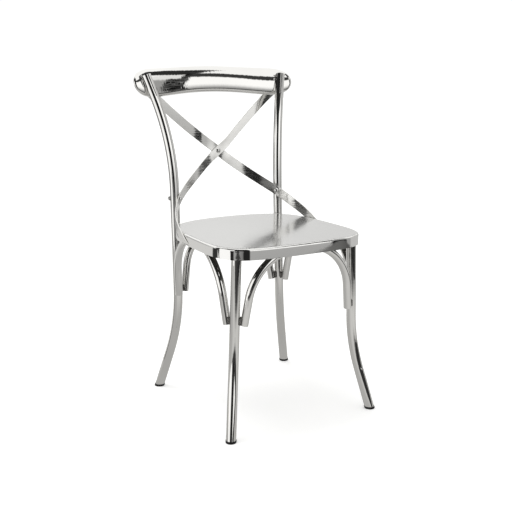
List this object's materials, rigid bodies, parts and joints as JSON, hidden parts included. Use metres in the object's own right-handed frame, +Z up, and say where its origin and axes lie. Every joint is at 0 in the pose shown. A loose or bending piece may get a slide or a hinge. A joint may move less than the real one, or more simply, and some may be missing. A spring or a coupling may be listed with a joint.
{
  "type": "cross-back metal bistro chair",
  "caption": "Armless metal dining chair with a pressed sheet seat, bent tube legs, arched braces under the seat, a crossed flat-bar back and a bowed crest rail.",
  "frame": {"origin": "centre of the chair's bounding box, on the floor under the four foot caps", "axes": "+Z up; the chair faces -Y, so the back is towards +Y; +X is the side that lies to the right when looking along +Y; X = 0 is the plane of symmetry of legs, seat and crest rail"},
  "size_m": [0.491, 0.5414, 0.8853],
  "materials": {
    "tube": "polished nickel-like plating",
    "strap": "fine brushed plating",
    "seat": "satin plated sheet",
    "fastener": "polished",
    "weld": "plated over, slightly rough",
    "foot_cap": "fine matt moulding"
  },
  "bodies": {
    "root": {"left_back_leg": "tube", "right_back_leg": "tube", "left_front_leg": "tube", "right_front_leg": "tube", "crest_rail": "tube", "front_cross_strap": "strap", "rear_cross_strap": "strap", "seat_pan": "seat", "front_brace": "tube", "left_side_brace": "tube", "right_side_brace": "tube", "rear_brace": "tube", "left_front_foot_cap": "foot_cap", "left_back_foot_cap": "foot_cap", "right_front_foot_cap": "foot_cap", "right_back_foot_cap": "foot_cap", "cross_rivet": "fastener", "upright_bolts": "fastener", "upright_nuts": "fastener", "brace_end_welds": "weld", "brace_top_welds": "weld", "front_leg_welds": "weld", "back_leg_welds": "weld", "crest_welds": "weld", "strap_foot_welds": "weld", "strap_head_welds": "weld"}
  },
  "joints": []
}
